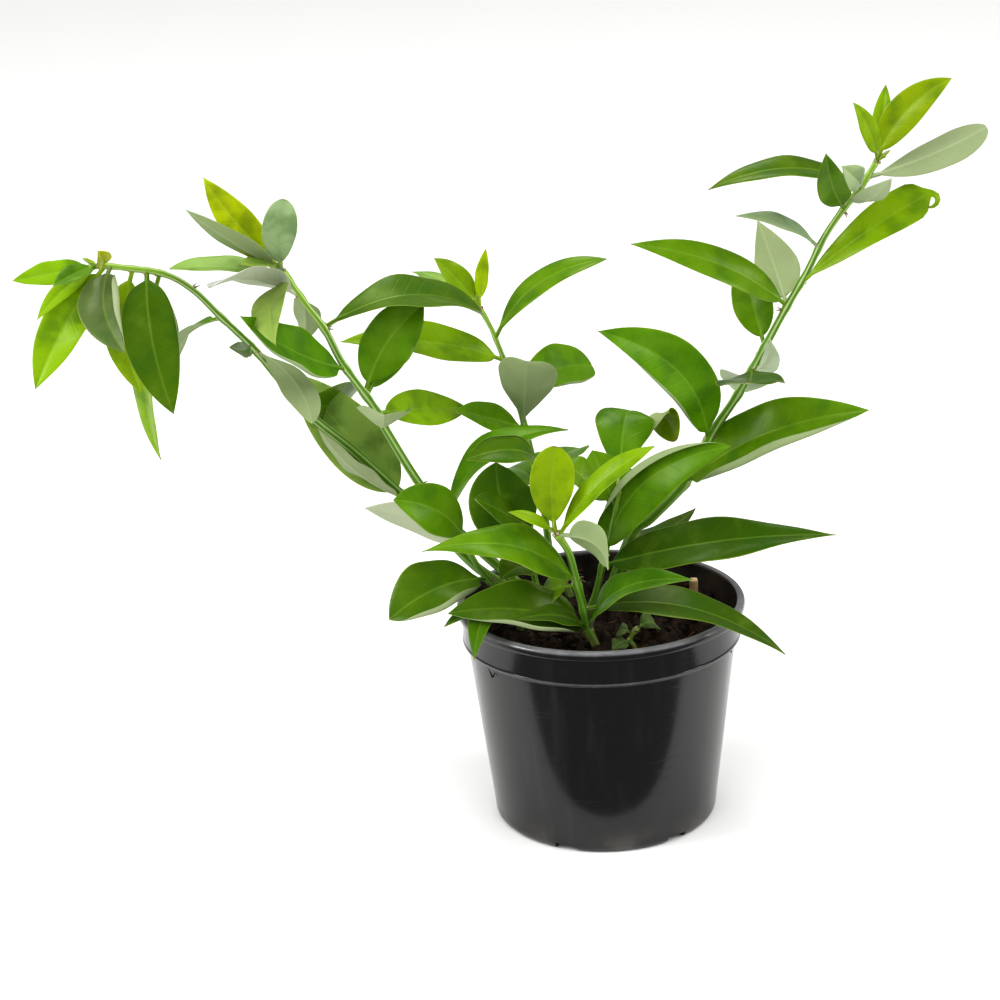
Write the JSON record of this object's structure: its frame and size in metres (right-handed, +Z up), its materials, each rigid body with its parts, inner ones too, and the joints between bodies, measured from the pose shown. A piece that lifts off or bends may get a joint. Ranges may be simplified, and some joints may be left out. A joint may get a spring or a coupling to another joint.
{
  "type": "potted pereskia",
  "caption": "Leafy pereskia with arching stems, small spines and glossy pointed leaves, growing in a round tapered plastic nursery pot filled with peat.",
  "frame": {"origin": "on the surface that the pot stands on, in the middle of the pot's base", "axes": "+Z up along the pot's axis, -Y to the front, +X to the side of the tallest stem"},
  "size_m": [0.4149, 0.1642, 0.3301],
  "materials": {
    "pot": "black moulded plastic, half gloss, lightly scuffed",
    "soil": "dark crumbly peat",
    "leafy_stem": "waxy green leaf, glossy above and pale below",
    "dry_wood": "dry cut stem"
  },
  "bodies": {
    "root": {"pot": "pot", "soil": "soil", "stem_left_long": "leafy_stem", "stem_left_upright": "leafy_stem", "stem_middle": "leafy_stem", "stem_right": "leafy_stem", "shoot_front": "leafy_stem", "shoot_right": "leafy_stem", "shoot_left": "leafy_stem", "shoot_middle": "leafy_stem", "seedling": "leafy_stem", "cut_stub": "dry_wood"}
  },
  "joints": []
}
